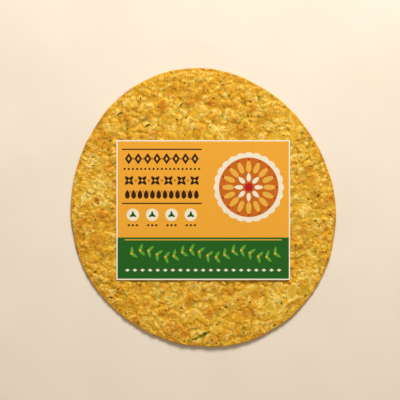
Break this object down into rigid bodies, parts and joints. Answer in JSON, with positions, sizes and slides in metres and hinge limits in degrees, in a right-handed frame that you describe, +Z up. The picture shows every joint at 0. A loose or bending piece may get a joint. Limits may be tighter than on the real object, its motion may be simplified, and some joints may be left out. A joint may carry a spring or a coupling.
{
  "type": "khakhra",
  "caption": "Thin crisp roasted khakhra flatbread with a cobbled blistered top and green leaf flecks, and a flat printed paper card lying on it.",
  "frame": {"origin": "centre of the bounding box in X and Y, on the surface that the bread lies on", "axes": "+Z up out of the bread's top, +Y towards the top of the card, +X to the card's right"},
  "size_m": [0.193, 0.2028, 0.0036],
  "materials": {
    "toasted_crust": "matt roasted dough, golden yellow with orange-brown toast on the raised blisters",
    "methi_leaf": "dried dark green leaf",
    "printed_card": "satin coated card, printed orange above and green below inside a cream edge"
  },
  "bodies": {
    "root": {"khakhra": "toasted_crust", "label_card": "printed_card"}
  },
  "joints": []
}
